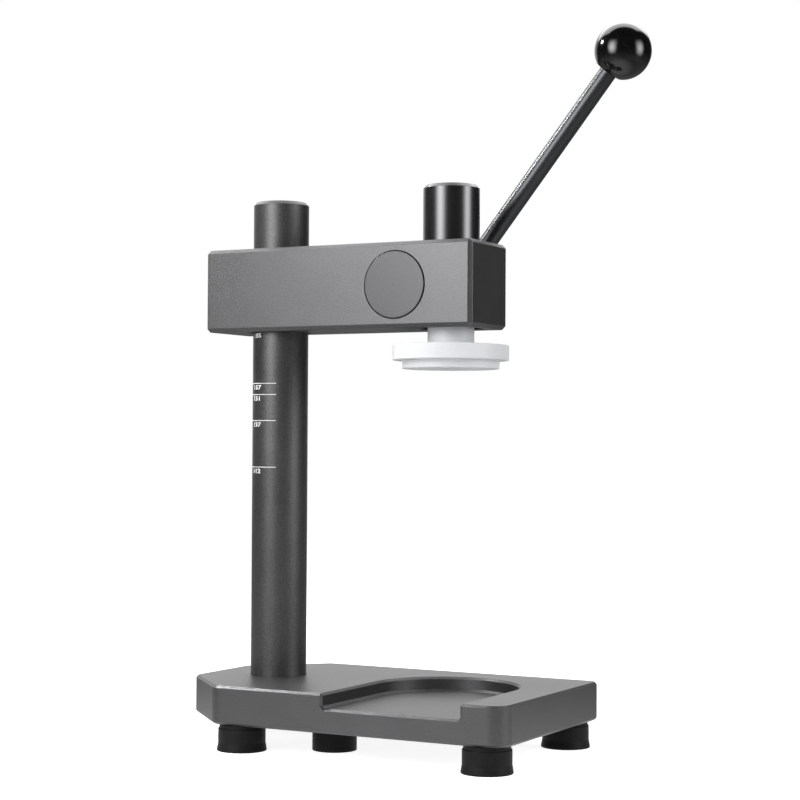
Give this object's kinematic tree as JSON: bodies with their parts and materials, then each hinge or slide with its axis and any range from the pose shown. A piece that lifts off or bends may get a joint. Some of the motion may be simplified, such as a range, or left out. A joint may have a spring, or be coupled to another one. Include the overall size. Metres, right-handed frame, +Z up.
{
  "type": "hand-lever cap press",
  "caption": "Bench cap press: a hand lever drives a rack-and-pinion ram with a nylon head down onto a container lid, from an arm set in height on a round column.",
  "frame": {"origin": "middle of the machine's bounding box, on the surface that the feet stand on", "axes": "+Z up along the column, +X from the column to the ram, -Y the open front of the base pocket"},
  "size_m": [0.233, 0.1208, 0.3794],
  "materials": {
    "anodised_aluminium": "bead-blasted, dark grey anodised, machined edges",
    "black_steel": "black, satin to gloss",
    "ground_steel": "turned and dull grey",
    "zinc_plate": "bright zinc plate",
    "bronze": "plain bearing bronze",
    "brass": "turned brass",
    "white_nylon": "turned white nylon",
    "dark_nylon": "plain dark nylon",
    "rubber": "moulded black rubber",
    "black_phenolic": "polished black"
  },
  "bodies": {
    "stand": {"base_plate": "anodised_aluminium", "column": "black_steel", "column_washer": "zinc_plate", "column_bolt": "zinc_plate", "foot_front_left": "rubber", "foot_front_left_screw": "zinc_plate", "foot_front_right": "rubber", "foot_front_right_screw": "zinc_plate", "foot_rear_right": "rubber", "foot_rear_right_screw": "zinc_plate", "foot_rear_left": "rubber", "foot_rear_left_screw": "zinc_plate", "support_pad": "rubber", "support_pad_screw": "zinc_plate"},
    "sleeve": {"column_bush_lower": "dark_nylon", "column_bush_upper": "dark_nylon"},
    "arm": {"arm_block": "anodised_aluminium", "ram_bush_lower": "dark_nylon", "ram_bush_upper": "dark_nylon", "pinion_bush_front": "bronze", "pinion_bush_rear": "bronze"},
    "lever": {"pinion_shaft": "ground_steel", "retaining_ring": "zinc_plate", "lever_hub": "black_steel", "hub_grub_screw": "zinc_plate", "hub_washer": "zinc_plate", "hub_screw": "zinc_plate", "lever_rod": "black_steel", "ball_knob": "black_phenolic"},
    "ram": {"ram": "black_steel", "press_head": "white_nylon", "press_head_screw": "zinc_plate"},
    "clamp_pad": {"clamp_pad": "brass"},
    "clamp_knob": {"clamp_stud": "zinc_plate", "clamp_knob": "black_phenolic"}
  },
  "joints": [
    {"name": "arm_height", "type": "slide", "parent": "stand", "child": "sleeve", "axis": [0, 0, 1], "range_m": [-0.08, 0.02]},
    {"name": "arm_swivel", "type": "hinge", "parent": "sleeve", "child": "arm", "pos_m": [-0.07946, 0, 0.2409], "axis": [0, 0, 1], "range_deg": [-60, 60]},
    {"name": "lever_turn", "type": "hinge", "parent": "arm", "child": "lever", "pos_m": [0.00214, 0, 0.2409], "axis": [0, 1, 0], "range_deg": [-50.9, 89.1]},
    {"name": "ram_travel", "type": "slide", "parent": "arm", "child": "ram", "axis": [0, 0, -1], "range_m": [-0.008, 0.014]},
    {"name": "clamp_travel", "type": "slide", "parent": "arm", "child": "clamp_pad", "axis": [0, 1, 0], "range_m": [0, 0.00126]},
    {"name": "clamp_turn", "type": "hinge", "parent": "clamp_pad", "child": "clamp_knob", "pos_m": [-0.07946, 0.03, 0.2409], "axis": [0, 1, 0], "range_deg": [0, 360]}
  ],
  "couplings": [
    {"joint": "ram_travel", "follows": "lever_turn", "m_per_rad": 0.009},
    {"joint": "clamp_travel", "follows": "clamp_turn", "m_per_rad": 0.00019894}
  ]
}
